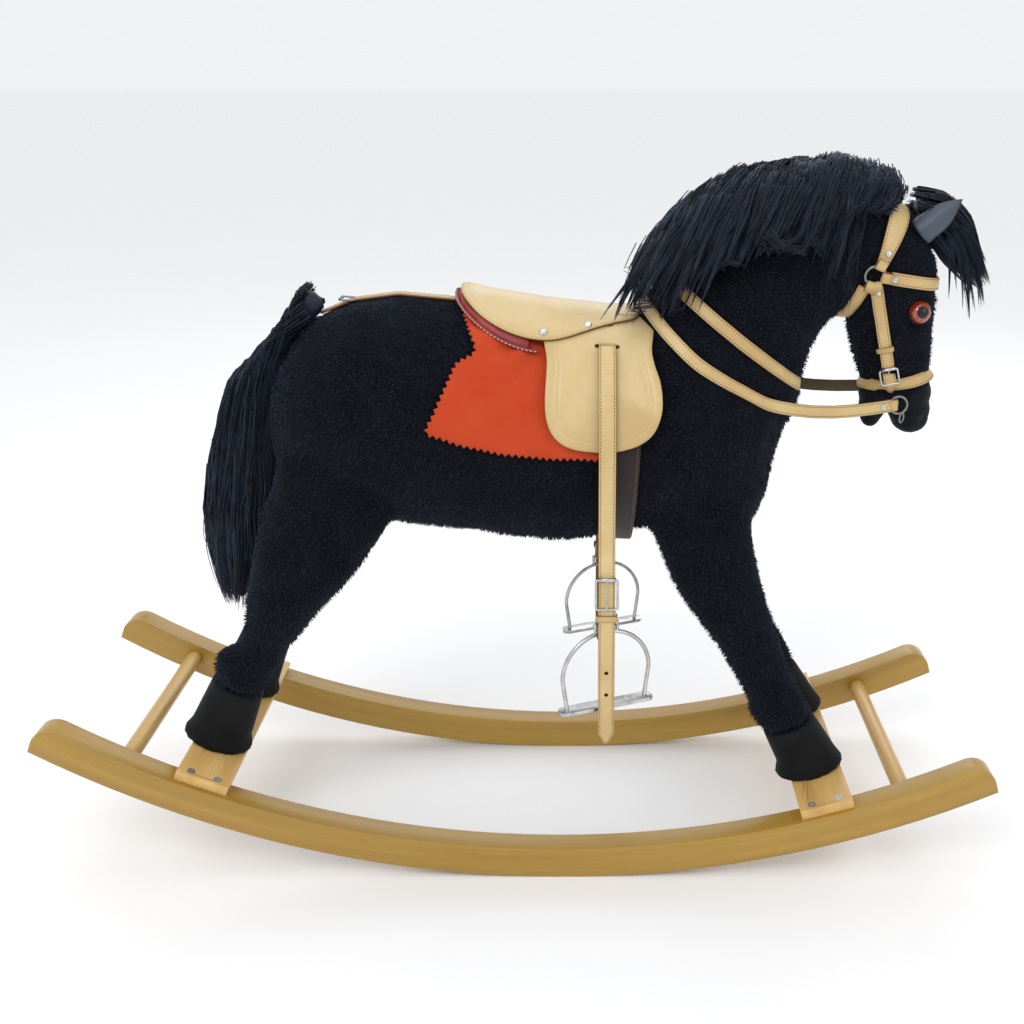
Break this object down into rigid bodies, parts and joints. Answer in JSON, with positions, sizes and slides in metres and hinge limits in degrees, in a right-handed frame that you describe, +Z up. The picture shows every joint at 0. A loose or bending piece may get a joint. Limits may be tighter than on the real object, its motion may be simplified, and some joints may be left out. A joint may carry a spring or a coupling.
{
  "type": "rocking horse",
  "caption": "Stuffed plush rocking horse on bow rockers, with padded saddle, felt cloth, bridle with reins, long mane and tail, and stirrups that swing.",
  "frame": {"origin": "middle of the object's box at floor level, midway between the two bows", "axes": "+X towards the nose, +Y to the horse's left, +Z up"},
  "size_m": [1.0858, 0.315, 0.8012],
  "materials": {
    "bow_wood": "satin",
    "plank_wood": "satin",
    "frame_wood": "matte",
    "zinc_steel": "satin",
    "black_plush": "matte",
    "hoof_suede": "matte",
    "ear_leather": "matte",
    "amber_glass": "gloss",
    "black_hair": "satin",
    "orange_felt": "matte",
    "red_panel": "satin",
    "tan_leather": "satin",
    "red_webbing": "matte",
    "plated_steel": "gloss"
  },
  "bodies": {
    "base": {"right_rocker": "bow_wood", "left_rocker": "bow_wood", "front_stretcher": "bow_wood", "rear_stretcher": "bow_wood", "front_plank": "plank_wood", "rear_plank": "plank_wood", "plank_screws": "zinc_steel", "post_screws": "zinc_steel", "right_hind_post": "frame_wood", "left_hind_post": "frame_wood", "right_fore_post": "frame_wood", "left_fore_post": "frame_wood", "hip_crossbar": "frame_wood", "shoulder_crossbar": "frame_wood", "spine_board": "frame_wood", "neck_post": "frame_wood", "head_peg": "frame_wood", "torso": "black_plush", "neck": "black_plush", "head": "black_plush", "right_hind_leg": "black_plush", "left_hind_leg": "black_plush", "right_fore_leg": "black_plush", "left_fore_leg": "black_plush", "right_hind_hoof": "hoof_suede", "left_hind_hoof": "hoof_suede", "right_fore_hoof": "hoof_suede", "left_fore_hoof": "hoof_suede", "right_ear": "ear_leather", "left_ear": "ear_leather", "right_eye": "amber_glass", "left_eye": "amber_glass", "mane": "black_hair", "forelock": "black_hair", "tail": "black_hair", "saddle_cloth": "orange_felt", "saddle_panel": "red_panel", "saddle_seat": "tan_leather", "right_flap": "tan_leather", "left_flap": "tan_leather", "stirrup_tabs": "tan_leather", "girth": "red_webbing", "crupper_strap": "tan_leather", "crupper_buckle": "plated_steel", "tack_rivets": "plated_steel", "crown_strap": "tan_leather", "browband": "tan_leather", "throatlatch": "tan_leather", "cheekpieces": "tan_leather", "noseband": "tan_leather", "bridle_rings": "plated_steel", "neck_strap": "tan_leather", "reins": "tan_leather"},
    "right_stirrup_leather": {"right_leather": "tan_leather", "right_buckle": "plated_steel"},
    "left_stirrup_leather": {"left_leather": "tan_leather", "left_buckle": "plated_steel"},
    "right_stirrup_iron": {"right_iron": "plated_steel"},
    "left_stirrup_iron": {"left_iron": "plated_steel"}
  },
  "joints": [
    {"name": "right_leather_swing", "type": "hinge", "parent": "base", "child": "right_stirrup_leather", "pos_m": [0.09993, -0.0743, 0.6087], "axis": [0, 1, 0], "range_deg": [-11, 18]},
    {"name": "left_leather_swing", "type": "hinge", "parent": "base", "child": "left_stirrup_leather", "pos_m": [0.09993, 0.0743, 0.6087], "axis": [0, 1, 0], "range_deg": [-11, 18]},
    {"name": "right_iron_swing", "type": "hinge", "parent": "right_stirrup_leather", "child": "right_stirrup_iron", "pos_m": [0.09993, -0.1323, 0.316], "axis": [0.9336, 0.3584, 0], "range_deg": [-2, 40]},
    {"name": "left_iron_swing", "type": "hinge", "parent": "left_stirrup_leather", "child": "left_stirrup_iron", "pos_m": [0.09993, 0.1323, 0.284], "axis": [0.9336, 0.3584, 0], "range_deg": [-40, 2]}
  ]
}
